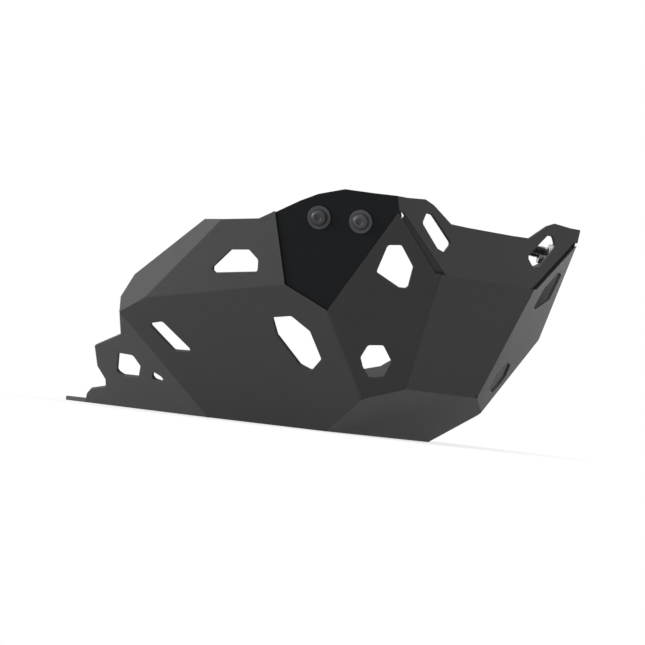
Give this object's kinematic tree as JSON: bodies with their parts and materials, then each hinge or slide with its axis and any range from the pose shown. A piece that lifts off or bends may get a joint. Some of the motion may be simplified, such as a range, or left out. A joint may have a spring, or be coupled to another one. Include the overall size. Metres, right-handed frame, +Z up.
{
  "type": "motorcycle skid plate",
  "caption": "Folded sheet-metal skid plate with a flat base, sloped faceted sides, angular cut-outs, two raised horns at the front and recessed bolted side plates.",
  "frame": {"origin": "under the middle of the overall box, on the plane of the flat underside", "axes": "+X to the front of the motorcycle, +Y to its left, +Z up"},
  "size_m": [0.4489, 0.368, 0.205],
  "materials": {
    "sheet_coat": "satin dark grey powder coat with a fine texture, on aluminium sheet",
    "plate_coat": "black satin powder coat, on steel",
    "bolt_coat": "dark zinc-nickel coat, satin",
    "zinc_steel": "zinc-plated steel, satin",
    "aluminium": "bare thread, satin"
  },
  "bodies": {
    "root": {"base_plate": "sheet_coat", "front_panel": "sheet_coat", "side_panel_right": "sheet_coat", "side_panel_left": "sheet_coat", "mount_plate_right": "plate_coat", "mount_plate_left": "plate_coat", "mount_bolt_right_rear": "bolt_coat", "washer_right_rear": "bolt_coat", "spacer_sleeve_right_rear": "zinc_steel", "mount_bolt_right_front": "bolt_coat", "washer_right_front": "bolt_coat", "spacer_sleeve_right_front": "zinc_steel", "weld_stud_right_upper": "aluminium", "flange_nut_right_upper": "zinc_steel", "weld_stud_right_lower": "aluminium", "flange_nut_right_lower": "zinc_steel", "weld_stud_right_front": "aluminium", "flange_nut_right_front": "zinc_steel", "mount_bolt_left_rear": "bolt_coat", "washer_left_rear": "bolt_coat", "spacer_sleeve_left_rear": "zinc_steel", "mount_bolt_left_front": "bolt_coat", "washer_left_front": "bolt_coat", "spacer_sleeve_left_front": "zinc_steel", "weld_stud_left_upper": "aluminium", "flange_nut_left_upper": "zinc_steel", "weld_stud_left_lower": "aluminium", "flange_nut_left_lower": "zinc_steel", "weld_stud_left_front": "aluminium", "flange_nut_left_front": "zinc_steel"}
  },
  "joints": []
}
